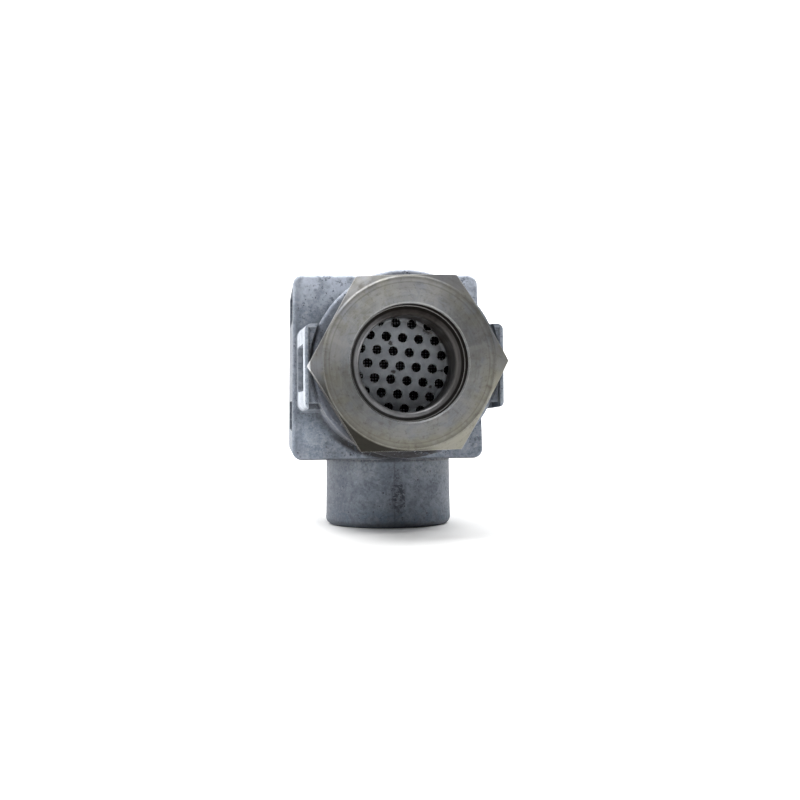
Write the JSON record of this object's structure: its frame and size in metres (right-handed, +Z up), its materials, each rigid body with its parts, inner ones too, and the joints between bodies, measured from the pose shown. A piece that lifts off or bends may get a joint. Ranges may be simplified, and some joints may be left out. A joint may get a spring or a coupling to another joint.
{
  "type": "pneumatic muffler",
  "caption": "Right-angle pneumatic muffler: square die-cast housing, threaded inlet boss below, hexagonal screwed outlet nut holding a round perforated screen.",
  "frame": {"origin": "centre of the inlet port's mouth, on the flat end of the boss", "axes": "+Z up the inlet port into the housing; -Y out of the outlet nut; +X to the right when the outlet is seen from the front"},
  "size_m": [0.0454, 0.0863, 0.0598],
  "materials": {
    "cast_housing": "matt sand-textured die casting, mottled blue-grey with dark pores",
    "cast_cover": "matt die casting",
    "nut_steel": "turned steel with a worn yellowish plating",
    "ring_steel": "turned steel, darkened by oil",
    "screen_steel": "plain stamped sheet, satin",
    "zinc_steel": "zinc plated, satin",
    "cap_steel": "plain sheet, satin",
    "tube_steel": "perforated sheet, satin",
    "mesh_steel": "fine dark wire cloth",
    "seal_rubber": "matt black",
    "gasket_fibre": "pressed fibre sheet",
    "fine_felt": "dense pale felt",
    "coarse_felt": "coarse grey felt"
  },
  "bodies": {
    "housing": {"housing": "cast_housing", "rear_cover": "cast_cover", "cover_gasket": "gasket_fibre", "cover_lock_washers": "zinc_steel", "cover_screws": "zinc_steel", "cartridge_front_gasket": "gasket_fibre", "cartridge_front_cap": "cap_steel", "cartridge_rear_cap": "cap_steel", "cartridge_inner_tube": "tube_steel", "cartridge_outer_tube": "tube_steel", "absorber_inner_sleeve": "fine_felt", "absorber_outer_sleeve": "coarse_felt", "absorber_mesh_wrap": "mesh_steel", "cartridge_rear_pad": "coarse_felt"},
    "nut_seal": {"nut_seal_ring": "zinc_steel", "nut_seal_lip": "seal_rubber"},
    "outlet_nut": {"outlet_nut": "nut_steel", "screen_retaining_ring": "ring_steel", "outlet_screen": "screen_steel", "screen_backing_mesh": "mesh_steel"}
  },
  "joints": [
    {"name": "nut_travel", "type": "slide", "parent": "housing", "child": "nut_seal", "axis": [0, -1, 0], "range_m": [0, 0.012]},
    {"name": "nut_turn", "type": "hinge", "parent": "nut_seal", "child": "outlet_nut", "pos_m": [-0.0006, -0.0525, 0.0377], "axis": [0, -1, 0], "range_deg": [0, 2880]}
  ],
  "couplings": [
    {"joint": "nut_travel", "follows": "nut_turn", "m_per_rad": 0.00023873}
  ]
}
